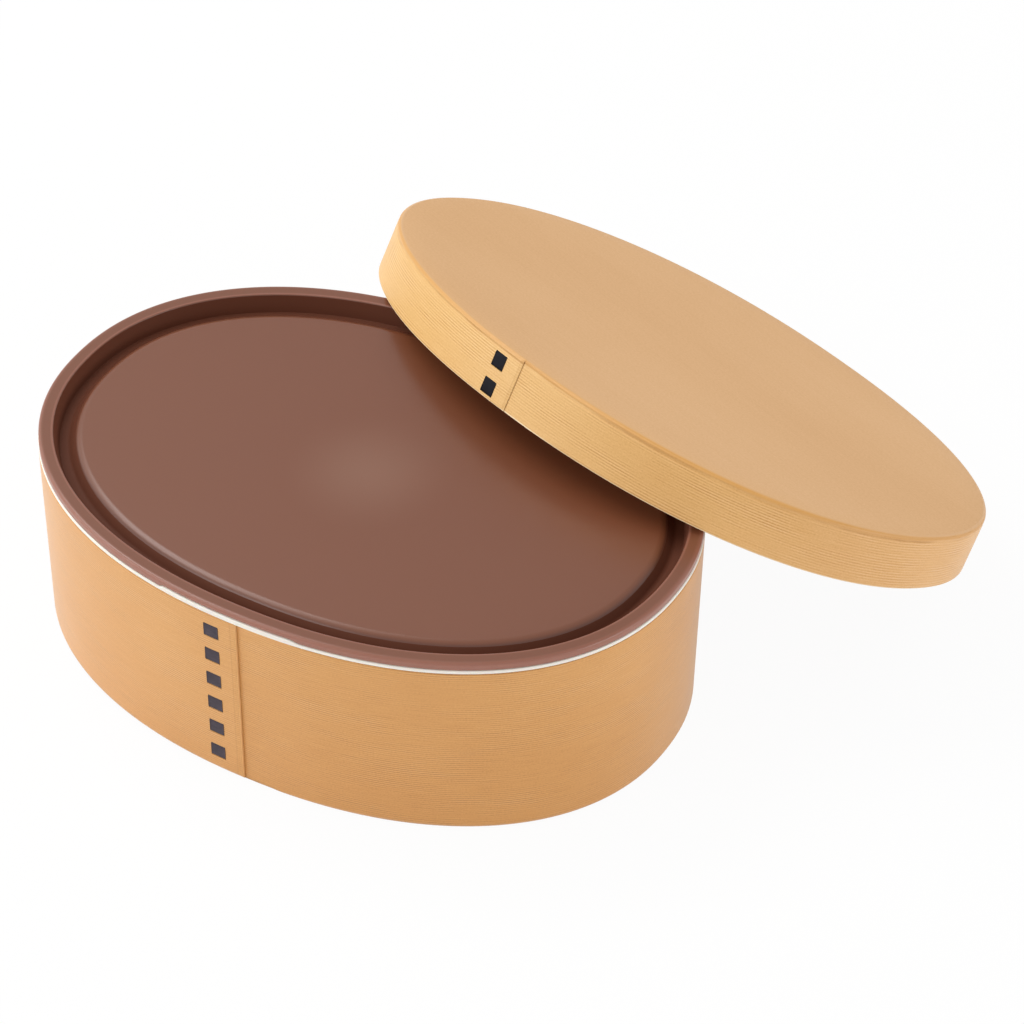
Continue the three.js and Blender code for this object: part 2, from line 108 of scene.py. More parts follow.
def oval_points(turn, inset):
    along = np.cos(turn)
    across = np.sin(turn)
    reach = 2 / OVAL_POWER
    edge = np.stack([
        HALF_LENGTH * signed_power(along, reach),
        HALF_WIDTH * signed_power(across, reach),
    ], -1)
    normal = np.stack([
        signed_power(along, 2 - reach) / HALF_LENGTH,
        signed_power(across, 2 - reach) / HALF_WIDTH,
    ], -1)
    normal /= np.linalg.norm(normal, axis=-1, keepdims=True)
    return edge - np.asarray(inset)[..., None] * normal


shoulder_point = oval_points(np.array([np.pi / 4]), np.zeros(1))[0] / MM
print("the oval's shoulder is at", shoulder_point.round(1), "mm")

# %% [markdown]
# Wood bends by length, not by angle, so places round the oval are given as the distance walked
# from the middle of the front, plus to the right. A table of small steps turns a distance into a
# turn angle. Distances past one round simply go round again, which the lapped ends need.

# %% Distance round the oval
WALK_STEPS = 7200

walk_turns = np.linspace(-0.5 * np.pi, 1.5 * np.pi, WALK_STEPS + 1)
walk_steps = np.diff(oval_points(walk_turns, np.zeros_like(walk_turns)), axis=0)
walked = np.append(0, np.cumsum(np.linalg.norm(walk_steps, axis=1)))
PERIMETER = walked[-1]


def turn_at(distance):
    rounds = np.floor(distance / PERIMETER)
    here = distance - rounds * PERIMETER
    return np.interp(here, walked, walk_turns) + 2 * np.pi * rounds


print("one round is", round(PERIMETER / MM, 1), "mm")

# %% [markdown]
# The bands are made as the real ones are: a flat strip is cut to shape first, and bent after. The
# flat strip is a grid of small cells along its length, through its thickness and up its height.
# Cells are taken out where the bark goes through, and a face is left wherever a full cell meets
# an empty one. That gives clean slits without cutting one mesh with another.

# %% Faces of a strip that is cut out of cells


def cell_faces(full):
    padded = np.pad(full, 1).astype(int)
    quads = []
    for axis in range(3):
        second, third = (axis + 1) % 3, (axis + 2) % 3
        change = np.diff(padded, axis=axis)
        keep = [slice(1, -1)] * 3
        keep[axis] = slice(None)
        change = change[tuple(keep)]
        step_two = np.eye(3, dtype=int)[second]
        step_three = np.eye(3, dtype=int)[third]
        for sign in (1, -1):
            corner = np.argwhere(change == sign)
            loop = [corner, corner + step_two, corner + step_two + step_three, corner + step_three]
            quads.append(np.stack(loop if sign == -1 else loop[::-1], 1))
    quads = np.concatenate(quads)
    points, faces = np.unique(quads.reshape(-1, 3), axis=0, return_inverse=True)
    return points, faces.reshape(-1, 4)


lone_points, lone_faces = cell_faces(np.ones((1, 1, 1), bool))
print("a lone cell has", len(lone_points), "points and", len(lone_faces), "faces")

# %% [markdown]
# Grid lines stand close where something happens, such as a slit or a rounded edge, and far apart
# elsewhere. One helper makes even marks, one makes the marks of a quarter round, and one merges
# several lots and drops a mark that is all but on another.

# %% Grid marks
CLOSEST_MARKS = 0.03 * MM


def even_marks(start, end, widest):
    count = max(1, int(np.ceil((end - start) / widest)))
    return np.linspace(start, end, count + 1)


def rounding_marks(radius, count):
    return radius * (1 - np.cos(np.linspace(0, np.pi / 2, count + 1)))


def merged_marks(*groups):
    marks = np.sort(np.concatenate([np.atleast_1d(group) for group in groups]))
    apart = np.append(True, np.diff(marks) > CLOSEST_MARKS)
    return marks[apart]


print("from 0 to 10 in steps of 3 at most:", even_marks(0, 10, 3))

# %% [markdown]
# At the lap both ends of a strip are planed to a long slant and glued. The left end comes out on
# top, and its tip shows as a fine upright line at the front. Here end is how thick that tip is
# left, and tip is how thin the end under it gets. The edge and the draft move a strip off the
# oval: the lid is wider all round, and the body narrows to its foot. Right of the seam the wood
# rises back to full thickness over the fade. The buried end lies a little lower at its rounded
# edges, so that the two ends share no skin.

# %% Sizes of the two strips
body_strip = SimpleNamespace(
    wall=1.9 * MM, height=54.5 * MM, edge=0.0, draft=1.45 * MM,
    seam=1.0 * MM, overlap=24 * MM, tip=0.5 * MM, end=0.85 * MM,
    bevel=1.6 * MM, bevel_drop=0.15 * MM, fade=24 * MM,
    foot=1.8 * MM, shoulder=0.3 * MM, groove=0.0, groove_below=1 * MM, rebate=None,
)
lid_strip = SimpleNamespace(
    wall=2.2 * MM, height=15.3 * MM, edge=-3.27 * MM, draft=0.0,
    seam=1.75 * MM, overlap=26 * MM, tip=0.5 * MM, end=0.32 * MM,
    bevel=0.9 * MM, bevel_drop=0.15 * MM, fade=20 * MM,
    foot=0.4 * MM, shoulder=1.2 * MM, groove=0.09 * MM, groove_below=1.3 * MM,
    rebate=SimpleNamespace(wide=1.2 * MM, deep=1.62 * MM),
)
GLUE_GAP = 0.1 * MM
BURIED = 0.06 * MM
HAIR = 0.01 * MM

for strip in (body_strip, lid_strip):
    strip.start = strip.seam - strip.overlap
    strip.stop = strip.seam + PERIMETER
    print("strip of", round((strip.stop - strip.start) / MM), "mm")

# %% [markdown]
# The two faces of a strip are depths from its nominal outer face. The wood between them is full
# thickness but for the slants, the bevel and the round at the tip, the groove under the lid's
# shoulder, and the rounded edges at the foot and shoulder.

# %% Depth of the outer and inner face
TIP_ROUND = 0.15 * MM
GROOVE_REACH = 0.35 * MM
INNER_STEP = 0.5 * MM
INNER_ROUND = 0.25 * MM


def smooth_share(value):
    share = np.clip(value, 0, 1)
    return share * share * (3 - 2 * share)


def rounded_edge(from_edge, radius):
    reach = np.clip(radius - from_edge, 0, radius)
    return radius - np.sqrt(radius**2 - reach**2)


def glue_line(strip, from_start):
    slant = strip.wall - strip.tip - strip.end
    return strip.wall - strip.tip - slant * np.clip(from_start / strip.overlap, 0, 1)


def outer_depth(strip, distance, height):
    from_start = distance - strip.start
    from_seam = distance - strip.seam
    to_stop = strip.stop - distance
    sunk = (strip.end + GLUE_GAP / 2) * (1 - smooth_share(from_seam / strip.fade))
    depth = np.where(from_seam > 0, sunk, glue_line(strip, from_start) + GLUE_GAP / 2)
    bevel = strip.bevel_drop * np.clip(1 - to_stop / strip.bevel, 0, 1)
    depth = depth + bevel + rounded_edge(to_stop, TIP_ROUND)
    below_top = (strip.height - height - strip.groove_below) / GROOVE_REACH
    depth = depth + strip.groove * np.exp(-below_top**2)
    foot = rounded_edge(height, strip.foot)
    shoulder = rounded_edge(strip.height - height, strip.shoulder)
    buried = np.where(from_seam > 0, 0, BURIED)
    return np.maximum(depth, np.maximum(foot, shoulder) + buried)


def inner_depth(strip, distance, height):
    to_stop = strip.stop - distance
    on_lap = glue_line(strip, strip.overlap - to_stop) - GLUE_GAP / 2
    past_tip = smooth_share((to_stop - strip.overlap - INNER_STEP) / INNER_STEP)
    depth = on_lap + (strip.wall - on_lap) * past_tip
    return depth - rounded_edge(height, INNER_ROUND)


for strip in (body_strip, lid_strip):
    step = outer_depth(strip, strip.seam + HAIR, strip.height / 2)
    print("the wood right of the seam lies", round(float(step) / MM, 2), "mm down")

# %% [markdown]
# The bark comes through a pair of slits for every dark square, and its face lies in a shallow
# seat. The outer end of the strip has seats and slits, and the inner end under it only slits.

# %% Places of the bark squares
BARK_THICKNESS = 0.4 * MM
BARK_PROUD = 0.04 * MM
SEAT_DEPTH = 0.42 * MM
SNUG = 0.03 * MM

body_squares = SimpleNamespace(
    name="body_stitch", size=4.3 * MM, middle=-6.4 * MM,
    heights=np.linspace(49.0, 6.9, 6) * MM,
)
lid_squares = SimpleNamespace(
    name="lid_stitch", size=4.2 * MM, middle=-5.75 * MM,
    heights=np.linspace(10.65, 3.1, 2) * MM,
)


def seat_marks(squares):
    half = squares.size / 2 + SNUG
    inside = half - BARK_THICKNESS - 2 * SNUG
    return half, inside


for squares in (body_squares, lid_squares):
    print(squares.name, "at heights", (squares.heights / MM).round(1), "mm")

# %% [markdown]
# The flat strip is marked out along its length and up its height. The marks are close at the lap
# and follow the bevel, the tip's round and both sides of every slit.

# %% Mark out the flat strip
FRONT_SPACING = 1.2 * MM
ROUND_SPACING = 2.4 * MM
HEIGHT_SPACING = 2.5 * MM
BEVEL_MARKS = np.array([1, 0.7, 0.4, 0.2])
TIP_MARKS = np.array([0.15, 0.08, 0.03]) * MM
STEP_MARKS = np.array([0.5, 0.75, 1.0]) * MM
GROOVE_MARKS = np.linspace(-0.9, 0.9, 9) * MM


def strip_marks(strip, squares):
    half, inside = seat_marks(squares)
    across = squares.middle + np.array([-half, half])
    near = even_marks(strip.start, strip.seam + strip.fade, FRONT_SPACING)
    bevel = strip.seam - BEVEL_MARKS * strip.bevel
    tip = strip.seam - TIP_MARKS
    front = np.concatenate([near, across, bevel, tip, [strip.seam, strip.seam + 0.1 * MM]])
    again = front[front < strip.seam + HAIR] + PERIMETER
    inner_tip = strip.stop - strip.overlap - STEP_MARKS
    round_marks = even_marks(strip.start, strip.stop, ROUND_SPACING)
    along = merged_marks(front, again, inner_tip, round_marks)
    along = along[(along >= strip.start) & (along <= strip.stop)]
    slits = [squares.heights + step for step in (-half, -inside, inside, half)]
    top = strip.height - rounding_marks(strip.shoulder, 6)
    up = [rounding_marks(strip.foot, 6), top, even_marks(0, strip.height, HEIGHT_SPACING)]
    if strip.groove:
        up.append(strip.height - strip.groove_below + GROOVE_MARKS)
    if strip.rebate:
        up.append(strip.height - strip.rebate.deep)
    return along, merged_marks(*up, *slits)


for strip, squares in ((body_strip, body_squares), (lid_strip, lid_squares)):
    along_marks, up_marks = strip_marks(strip, squares)
    print(len(along_marks), "marks along the strip and", len(up_marks), "up it")

# %% [markdown]
# Now the slits and seats are cut: their cells are marked as empty. The lid's strip also loses the
# inner layer along its top, which is the rebate that its board lies in. Where the slanted end is
# too deep to leave any wood beside the rebate, it loses all its layers there.

# %% Cut the flat strip
LEAST_LIP = 0.05 * MM


def strip_cells(strip, squares, along, up):
    layers = 3 if strip.rebate else 2
    full = np.ones((len(along) - 1, layers, len(up) - 1), bool)
    half, inside = seat_marks(squares)
    place = (along[:-1] + along[1:]) / 2
    level = (up[:-1] + up[1:]) / 2
    on_first = np.abs(place - squares.middle) < half
    on_last = np.abs(place - PERIMETER - squares.middle) < half
    for height in squares.heights:
        gap = np.abs(level - height)
        slit = (gap < half) & (gap > inside)
        full[np.ix_(on_first | on_last, np.arange(layers), slit)] = False
        full[np.ix_(on_last, [0], gap < half)] = False
    if strip.rebate:
        above = level > strip.height - strip.rebate.deep
        full[np.ix_(np.ones_like(place, bool), [layers - 1], above)] = False
        deep = outer_depth(strip, place, np.full_like(place, strip.height / 2))
        no_lip = deep > strip.rebate.wide - LEAST_LIP
        full[np.ix_(no_lip, np.arange(layers), above)] = False
    return full


body_cells = strip_cells(body_strip, body_squares, *strip_marks(body_strip, body_squares))
print(np.count_nonzero(~body_cells), "of", body_cells.size, "cells of the body's strip are cut out")

# %% [markdown]
# The cells' layers lie between these depths: the outer face, the floor of the bark's seat, the
# back of the lid's rebate, and the inner face. Where the wood is planed thin the lines between
# close up with it, so that no layer turns inside out.

# %% Depths of the layers
THINNEST = 0.04 * MM
SEAT_SHARE = 0.6
REBATE_SHARE = 0.8


def layer_depths(strip, distance, height):
    outer = outer_depth(strip, distance, height)
    inner = np.maximum(inner_depth(strip, distance, height), outer + THINNEST)
    room = inner - outer
    if not strip.rebate:
        return [outer, outer + np.minimum(SEAT_DEPTH, SEAT_SHARE * room), inner]
    lip = height > strip.height - strip.rebate.deep + HAIR
    lip_back = np.minimum(strip.rebate.wide, inner)
    room = np.where(lip, np.clip(lip_back - outer, HAIR, None), room)
    seat = outer + np.minimum(SEAT_DEPTH, SEAT_SHARE * room)
    rebate = np.clip(strip.rebate.wide, outer + room * REBATE_SHARE, inner - HAIR)
    return [outer, seat, np.where(lip, outer + room, rebate), inner]


back_depths = layer_depths(lid_strip, PERIMETER / 2, lid_strip.height / 2)
print("layers at the lid's back lie", np.round(np.ravel(back_depths) / MM, 2), "mm deep")

# %% [markdown]
# The cut strip is bent round the oval. The UV map keeps the flat strip's own length and height in
# metres, so the grain can run along the wood and jump at the lap, as it does on the real box. An
# edge that turns by more than SHARP degrees stays crisp, and the rest is shaded smooth.

# %% Bend the strip
SHARP = 38


def bend(strip, distance, depth, height):
    inset = strip.edge + depth + strip.draft * (1 - height / strip.height)
    plan = oval_points(turn_at(distance), inset)
    return np.column_stack([plan, height])


def link_piece(name, mesh, sharp_degrees=SHARP):
    mesh.shade_smooth()
    mesh.set_sharp_from_angle(angle=np.radians(sharp_degrees))
    piece = bpy.data.objects.new(name, mesh)
    bpy.context.scene.collection.objects.link(piece)
    return piece


def make_strip(name, strip, squares):
    along, up = strip_marks(strip, squares)
    points, faces = cell_faces(strip_cells(strip, squares, along, up))
    distance, height = along[points[:, 0]], up[points[:, 2]]
    depth = np.choose(points[:, 1], layer_depths(strip, distance, height))
    mesh = bpy.data.meshes.new(name)
    mesh.from_pydata(bend(strip, distance, depth, height).tolist(), [], faces.tolist())
    corner = np.empty(len(mesh.loops), int)
    mesh.loops.foreach_get("vertex_index", corner)
    flat = mesh.uv_layers.new(name="flat strip")
    flat.data.foreach_set("uv", np.column_stack([distance, height])[corner].ravel())
    print(name, "has", len(faces), "faces")
    return link_piece(name, mesh)


seam_foot = bend(body_strip, np.array([body_strip.seam]), np.zeros(1), np.zeros(1))[0]
print("the foot of the body's seam is bent to", (seam_foot / MM).round(2), "mm")

# %% [markdown]
# The body's band is the wall of the box. It stands on the table, and everything else is held by
# it, so it rides on the body that doesn't move.

# %% The body's band
body_band = make_strip("bent_body_band", body_strip, body_squares)
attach(body_band, "box")
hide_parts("body_band")

# %% [markdown]
# The outer lid is stored leaning, so everything on it is made level in the lid's own frame and
# then turned: spun a little, leaned, and swung round.

# %% The lid's band
LID_PLACE = np.array([41.184, 84.650, 33.422]) * MM
LID_SWING = np.radians(-18.55)
LID_LEAN = np.radians(-29.08)
LID_SPIN = np.radians(-0.38)

lid_frame = (
    Matrix.Translation(LID_PLACE)
    @ Matrix.Rotation(LID_SWING, 4, "Z")
    @ Matrix.Rotation(LID_LEAN, 4, "X")
    @ Matrix.Rotation(LID_SPIN, 4, "Z")
)


def put_on_lid(piece, node):
    piece.data.transform(lid_frame)
    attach(piece, "outer_lid")
    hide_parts(node)


lid_band = make_strip("bent_lid_band", lid_strip, lid_squares)
put_on_lid(lid_band, "lid_band")

# %% [markdown]
# A bark square is a strip of cherry bark as thin as card. It lies in its seat, turns through both
# slits and is tucked flat behind the band. Its section is drawn as a line down the middle of the
# bark, with a small curve at each turn, and is then given the bark's thickness.

# %% Draw the bark's section
TAIL_BEHIND = 0.3 * MM
TAIL_SHORT = 1.4 * MM
BARK_TURN = 0.28 * MM


def bark_line(squares, wall):
    half = squares.size / 2 - BARK_THICKNESS / 2
    front = BARK_THICKNESS / 2 - BARK_PROUD
    back = wall + TAIL_BEHIND
    tail = squares.size / 2 - TAIL_SHORT
    corners = [(back, -tail), (back, -half), (front, -half), (front, half), (back, half), (back, tail)]
    line = [corners[0]]
    for before, corner, after in zip(corners, corners[1:], corners[2:]):
        before, corner, after = map(np.array, (before, corner, after))
        go_in = (before - corner) / np.linalg.norm(before - corner)
        go_out = (after - corner) / np.linalg.norm(after - corner)
        for share in np.linspace(0, 1, 5):
            line.append(corner + BARK_TURN * ((1 - share) ** 2 * go_in + share**2 * go_out))
    line.append(corners[-1])
    return np.array(line)


def bark_outline(squares, wall):
    line = bark_line(squares, wall)
    way = np.gradient(line, axis=0)
    way /= np.linalg.norm(way, axis=1, keepdims=True)
    side = np.column_stack([-way[:, 1], way[:, 0]]) * BARK_THICKNESS / 2
    return np.concatenate([line + side, (line - side)[::-1]])


print("the bark's section has", len(bark_outline(body_squares, body_strip.wall)), "points")

# %% [markdown]
# The section is carried across the square's width and bent with the band, and its sides are the
# faces between one ring of points and the next. Close to both ends it is drawn in by a tenth of a
# millimetre, which eases the cut edge of the bark so that it catches a little light.

# %% Carry the bark's section across
BARK_SPACING = 0.7 * MM
BARK_SHARP = 50
EASE_MARKS = np.array([0.0, 0.04, 0.12]) * MM
EASED_IN = np.array([0.1, 0.03, 0.0])


def ring_sides(rings, count):
    ring = np.arange(rings - 1)[:, None] * count
    here, ahead = np.arange(count), np.roll(np.arange(count), -1)
    sides = np.stack([ring + here, ring + ahead, ring + count + ahead, ring + count + here], -1)
    return sides.reshape(-1, 4)


def make_square(name, strip, squares, level):
    outline = bark_outline(squares, strip.wall)
    inner_slices = even_marks(BARK_SPACING, squares.size - BARK_SPACING, BARK_SPACING)
    slices = np.concatenate([EASE_MARKS, inner_slices, (squares.size - EASE_MARKS)[::-1]])
    shrink = np.zeros(len(slices))
    shrink[:3], shrink[-3:] = EASED_IN, EASED_IN[::-1]
    count = len(outline)
    side = outline - np.roll(outline, 1, axis=0)
    normal = side + np.roll(side, -1, axis=0)
    normal = np.column_stack([-normal[:, 1], normal[:, 0]])
    normal /= np.linalg.norm(normal, axis=1, keepdims=True)
    vertices = []
    for across, drawn_in in zip(slices, shrink):
        rim = outline + normal * drawn_in * MM
        distance = np.full(count, squares.middle + PERIMETER - squares.size / 2 + across)
        vertices.append(bend(strip, distance, rim[:, 0], level + rim[:, 1]))
    last = (len(slices) - 1) * count
    faces = ring_sides(len(slices), count)[:, [0, 3, 2, 1]].tolist()
    faces.append(list(range(count)))
    faces.append(list(range(last + count - 1, last - 1, -1)))
    mesh = bpy.data.meshes.new(name)
    mesh.from_pydata(np.concatenate(vertices).tolist(), [], faces)
    return link_piece(name, mesh, BARK_SHARP)


print("slices across a square lie", round(BARK_SPACING / MM, 1), "mm apart")

# %% [markdown]
# Six squares stand in a column beside the body's seam and two beside the lid's. Each is a piece
# of its own, because each stands for its own node in the frame.

# %% Make the bark squares
bark_pieces = []
for number, level in enumerate(body_squares.heights, 1):
    square = make_square(f"bark_body_{number}", body_strip, body_squares, level)
    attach(square, "box")
    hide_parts(f"body_stitch_{number}")
    bark_pieces.append(square)
for number, level in enumerate(lid_squares.heights, 1):
    square = make_square(f"bark_lid_{number}", lid_strip, lid_squares, level)
    put_on_lid(square, f"lid_stitch_{number}")
    bark_pieces.append(square)
print(len(bark_pieces), "bark squares")

# %% [markdown]
# The moulded and sawn pieces are all the same outline carried round the oval. A profile is a list
# of points, each an inset and a height, from the middle of the underside outward and up to the
# middle of the top. Near the edge the rings run parallel to the oval. Past the plate inset they
# shrink evenly to the middle, so that the flat part has tidy faces.

# %% Carry a profile round the oval


def make_ring(name, profile, plate_inset, distances):
    insets = np.array([np.broadcast_to(inset, distances.shape) for inset, height in profile])
    heights = np.array([np.broadcast_to(height, distances.shape) for inset, height in profile])
    near = np.minimum(insets, plate_inset)
    shrink = 1 - np.clip(insets - plate_inset, 0, None) / (HALF_WIDTH - plate_inset)
    turns = np.broadcast_to(turn_at(distances), insets.shape)
    plan = oval_points(turns, near) * shrink[..., None]
    rings, count = insets.shape
    vertices = np.concatenate([plan.reshape(-1, 2), heights.reshape(-1, 1)], 1).tolist()
    vertices.append((0, 0, heights[0].mean()))
    vertices.append((0, 0, heights[-1].mean()))
    low, high = rings * count, rings * count + 1
    top = (rings - 1) * count
    here, ahead = np.arange(count), np.roll(np.arange(count), -1)
    faces = ring_sides(rings, count).tolist()
    faces += [(low, second, first) for first, second in zip(here, ahead)]
    faces += [(high, top + first, top + second) for first, second in zip(here, ahead)]
    mesh = bpy.data.meshes.new(name)
    mesh.from_pydata(vertices, [], faces)
    print(name, "has", len(faces), "faces")
    return link_piece(name, mesh)


ROUND_STEPS = 288
round_trip = np.linspace(0, PERIMETER, ROUND_STEPS, endpoint=False)
print(len(round_trip), "places round the oval")

# %% [markdown]
# Round stretches of a profile are arcs. The angle is counted from the outside: at 0 the arc faces
# outward, at 90 it faces up and at -90 down. Profiles are in millimetres until they are scaled.

# %% Arcs for profiles


def corner_arc(inset, height, radius, start, stop, steps):
    turn = np.radians(np.linspace(start, stop, steps + 1))
    return list(zip(inset - radius * np.cos(turn), height + radius * np.sin(turn)))


def scaled(profile):
    return [(inset * MM, height * MM) for inset, height in profile]


print("a quarter arc ends at", np.round(corner_arc(1, 0, 1, 0, 90, 2)[-1], 2))

# %% [markdown]
# The bottom board is sawn from flat wood and glued into the foot of the band, which is narrower
# than its top by the draft. The board's edges are only eased with sandpaper.

# %% Bottom board
BOARD_THICKNESS = 3
BOARD_GAP = 0.05
BOARD_PLATE = 12
base_edge = (body_strip.wall + body_strip.draft) / MM + BOARD_GAP

bottom_board = make_ring("bottom_board", scaled([
    (40, 0),
    (BOARD_PLATE, 0),
    *corner_arc(base_edge + 0.3, 0.3, 0.3, -90, 0, 4),
    *corner_arc(base_edge + 0.2, BOARD_THICKNESS - 0.2, 0.2, 0, 90, 3),
    (BOARD_PLATE, BOARD_THICKNESS),
    (40, BOARD_THICKNESS),
]), BOARD_PLATE * MM, round_trip)
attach(bottom_board, "box")
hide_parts("body_base")

# %% [markdown]
# At the front the inner lid's flange is cut away from below for a fingertip, with a steep end on
# the left and a slow one on the right. The liner's rim stands a little higher there, so white
# shows in the cut. Both are a change of height in a profile, which grows and fades along the
# front.

# %% The fingertip notch
NOTCH_HEIGHT = 0.65 * MM
NOTCH_LEFT = -22.5 * MM
NOTCH_RIGHT = 19.5 * MM
STEEP_END = 1.13 * MM
SLOW_END = 3.4 * MM
notch_marks = np.concatenate([
    NOTCH_LEFT + np.array([0, 0.3, 0.6, 0.9, 1.13, 1.5]) * MM,
    NOTCH_RIGHT - np.array([3.4, 2.5, 1.5, 0.5, 0]) * MM,
])


def notch_rise(distances):
    place = np.where(distances > PERIMETER / 2, distances - PERIMETER, distances)
    left = smooth_share((place - NOTCH_LEFT) / STEEP_END)
    right = smooth_share((NOTCH_RIGHT - place) / SLOW_END)
    return HAIR + NOTCH_HEIGHT * left * right


notched_trip = merged_marks(round_trip, np.mod(notch_marks, PERIMETER))
rise = notch_rise(notched_trip)
print("notch is", round(rise.max() / MM, 2), "mm high")

# %% [markdown]
# The liner, the inner lid and the wood are stacked: the rim lies just clear of the band's top
# edge, and the flange just clear of the rim. These heights follow from the band's.

# %% Heights of the stack
SEAT_GAP = 0.2
RIM_HEIGHT = 0.95
FLANGE_HEIGHT = 2.15
PANEL_DROP = 2
MOAT_DEPTH = 5

RIM_UNDER = body_strip.height / MM + SEAT_GAP
RIM_TOP = RIM_UNDER + RIM_HEIGHT
FLANGE_UNDER = RIM_TOP + SEAT_GAP
FLANGE_TOP = FLANGE_UNDER + FLANGE_HEIGHT
PANEL_TOP = FLANGE_TOP - PANEL_DROP
MOAT_FLOOR = FLANGE_TOP - MOAT_DEPTH
print("rim at", round(RIM_TOP, 2), "and flange at", round(FLANGE_TOP, 2), "mm")

# %% [markdown]
# The liner is a thin moulded box. A narrow rim lies on the wood's top edge, and under it the wall
# steps in, tapers and turns into the floor through a wide radius, so that rice comes out clean. In
# the notch the rim rises by its share of the notch's height.

# %% Liner
FLOOR_UNDER = 3.3
FLOOR_TOP = 4.5
FLOOR_ROUND = 11.0
LINER_PLATE = 14
OUTER_ROUND = 6
WALL_ROUND = 5.05
RIM_SHARE = 0.8

liner_outside = scaled([
    (50, FLOOR_UNDER),
    (30, FLOOR_UNDER),
    (LINER_PLATE, FLOOR_UNDER),
    *corner_arc(FLOOR_ROUND, FLOOR_UNDER + OUTER_ROUND, OUTER_ROUND, -90, 0, 9),
    (4.0, 40),
    (3.52, RIM_UNDER - 3.5),
    (3.3, RIM_UNDER - 2.95),
    (2.35, RIM_UNDER - 1.7),
    (2.12, RIM_UNDER - 1.2),
    *corner_arc(1.95, RIM_UNDER - 0.18, 0.16, 180, 90, 3),
    *corner_arc(0.17, RIM_UNDER + 0.15, 0.15, -90, 0, 2),
])
rim_lift = RIM_SHARE * (rise - rise.min())
liner_rim = [(inset, height + rim_lift) for inset, height in scaled([
    *corner_arc(0.32, RIM_TOP - 0.32, 0.32, 0, 90, 5),
    (1.7, RIM_TOP),
])]
liner_inside = scaled([
    (1.95, RIM_TOP),
    *corner_arc(2.95, RIM_TOP - 0.2, 0.2, 90, 180, 3),
    (3.15, RIM_TOP - 1.65),
    (3.35, RIM_TOP - 2.1),
    (4.25, RIM_TOP - 3.35),
    (4.55, RIM_TOP - 4.05),
    (5.05, 40),
    *corner_arc(FLOOR_ROUND, FLOOR_TOP + WALL_ROUND, WALL_ROUND, 0, -90, 9),
    (LINER_PLATE, FLOOR_TOP),
    (30, FLOOR_TOP),
    (50, FLOOR_TOP),
])
liner_profile = liner_outside + liner_rim + liner_inside
liner = make_ring("moulded_liner", liner_profile, LINER_PLATE * MM, notched_trip)
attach(liner, "liner")
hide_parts("inner_box")

# %% [markdown]
# The inner lid is one moulding: a flange that lies on the liner, a moat that plugs it, and a
# raised panel. The moat makes the lid springy enough to press in. Its outer wall is steep and
# ends in a sharp foot, and from there the surface sweeps up to the panel in an S, hollow first and
# then round. The underside follows the top one sheet's thickness below.

# %% Profile of the inner lid
SHEET = 1.0
FLANGE_INSET = 0.17
FLANGE_ROUND = 0.8
WALL_TURN = 0.4
MOAT_FOOT = 0.2
HOLLOW = 1.5
HOLLOW_INSET = 7.08
PANEL_ROUND = 3.0
PANEL_INSET = 11.7
DOME_RISE = 0.4

hollow_height = MOAT_FLOOR + HOLLOW
panel_height = PANEL_TOP - PANEL_ROUND
panel_half = HALF_WIDTH / MM
outer_edge = corner_arc(
    FLANGE_INSET + FLANGE_ROUND, FLANGE_TOP - FLANGE_ROUND, FLANGE_ROUND, 0, 90, 8)
flange_top = [(1.4, FLANGE_TOP), (3.2, FLANGE_TOP)]
inner_edge = corner_arc(3.65, FLANGE_TOP - WALL_TURN, WALL_TURN, 90, 172, 6)
moat_foot = corner_arc(5.58, MOAT_FLOOR + MOAT_FOOT, MOAT_FOOT, -12, -90, 5)
moat_rise = corner_arc(HOLLOW_INSET, hollow_height, HOLLOW, 270, 220, 8)
panel_edge = corner_arc(PANEL_INSET, panel_height, PANEL_ROUND, 40, 90, 14)
dome = []
for inset in (16, 22, 30, 40, 52):
    from_middle = (panel_half - inset) / (panel_half - PANEL_INSET)
    dome.append((inset, PANEL_TOP + DOME_RISE - DOME_RISE * from_middle**2))
below = scaled([
    (52, PANEL_TOP - 0.62),
    (30, PANEL_TOP - 0.75),
    (16, PANEL_TOP - 0.92),
    *corner_arc(PANEL_INSET, panel_height, PANEL_ROUND - SHEET, 90, 40, 9),
    *corner_arc(HOLLOW_INSET, hollow_height, HOLLOW + SHEET, 220, 270, 8),
    *corner_arc(5.15, MOAT_FLOOR - SHEET + 0.75, 0.75, -90, -10, 4),
    (3.75, FLANGE_UNDER - 0.25),
    (3.55, FLANGE_UNDER - 0.01),
])
cut_foot = scaled([
    (2.2, FLANGE_UNDER - 0.01),
    (0.32, FLANGE_UNDER),
    (0.21, FLANGE_UNDER + 0.05),
    (FLANGE_INSET, FLANGE_UNDER + 0.15),
])
flange_foot = [cut_foot[0]] + [(inset, height + rise) for inset, height in cut_foot]
flange_side = [(FLANGE_INSET, FLANGE_TOP - 1)]
rolled = moat_foot + moat_rise + panel_edge + dome
above = scaled(flange_side + outer_edge + flange_top + inner_edge + rolled)
print("the inner lid's profile has", len(below + flange_foot + above), "points")

# %% [markdown]
# Each ring of the profile also gets two numbers that the brown plastic reads: how much painted
# highlight it takes, on the flange's edges and side, and how rough from the tool it is in the moat,
# where it also takes painted shade. They are stored on the mesh's points, where a material can
# read them.

# %% Inner lid
inner_lid = make_ring(
    "moulded_inner_lid", below + flange_foot + above, PANEL_INSET * MM, notched_trip)


def finish_rings(piece, name, *groups):
    values = np.concatenate([np.broadcast_to(value, len(points)) for points, value in groups])
    count = (len(piece.data.vertices) - 2) // len(values)
    layer = piece.data.attributes.new(name, "FLOAT", "POINT")
    layer.data.foreach_set("value", np.append(np.repeat(values, count), (values[0], values[-1])))
